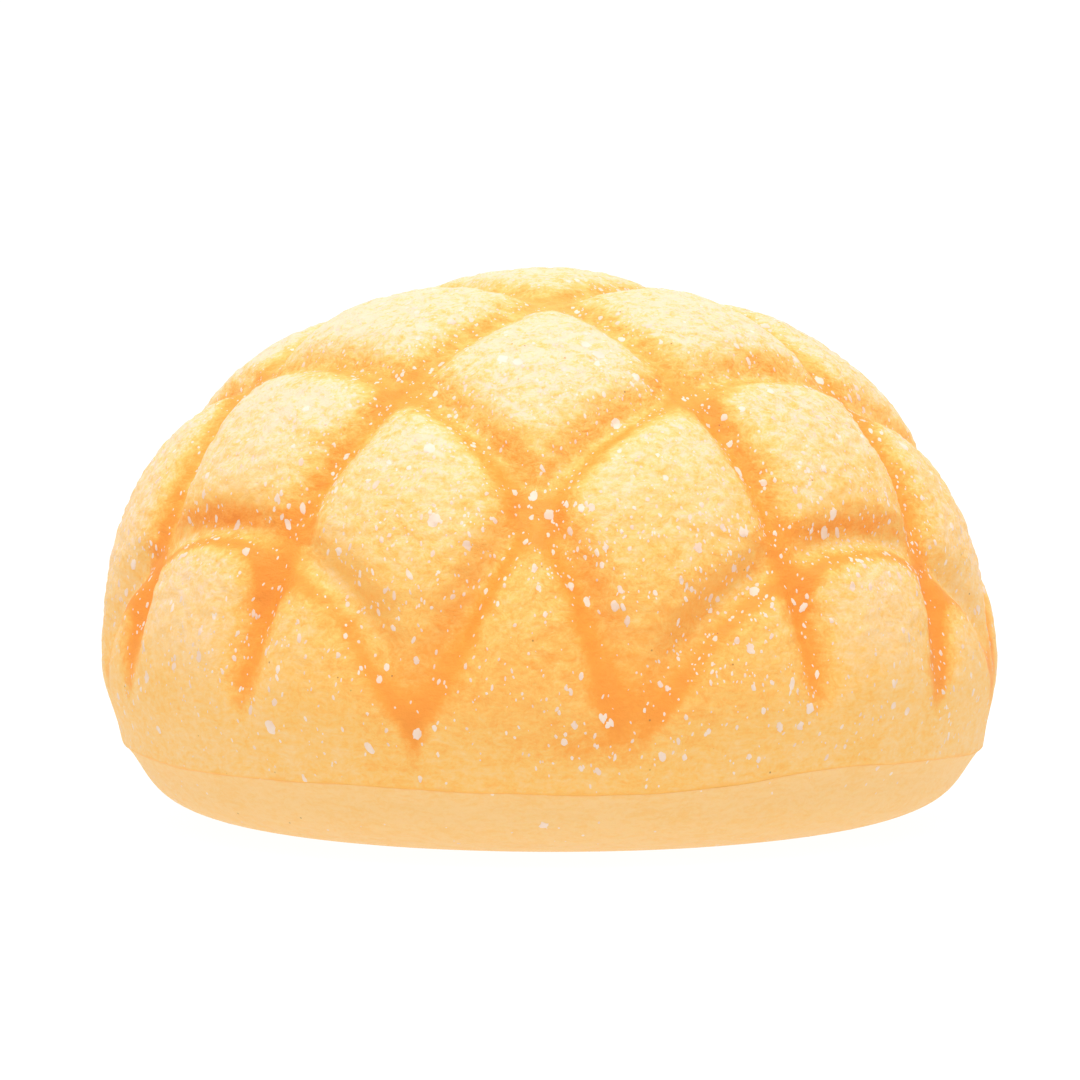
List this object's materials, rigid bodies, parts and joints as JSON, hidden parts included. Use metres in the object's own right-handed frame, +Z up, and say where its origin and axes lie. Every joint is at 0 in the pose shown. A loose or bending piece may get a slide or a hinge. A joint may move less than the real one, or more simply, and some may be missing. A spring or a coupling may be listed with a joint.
{
  "type": "toy melon pan bun",
  "caption": "Soft foam toy copy of a melon pan sweet bun: a domed crust scored in diamonds over a smooth pale base, with orange grooves and white flecks.",
  "frame": {"origin": "middle of the box round the bun, on the flat underside that it rests on", "axes": "+Z up through the dome, -Y towards the front that the picture shows, +X to the right seen from the front"},
  "size_m": [0.121, 0.1212, 0.0743],
  "materials": {
    "painted_foam": "soft foam with a matt skin, cream yellow on the panels and sprayed orange in the grooves, with white flecks"
  },
  "bodies": {
    "root": {"bun": "painted_foam"}
  },
  "joints": []
}
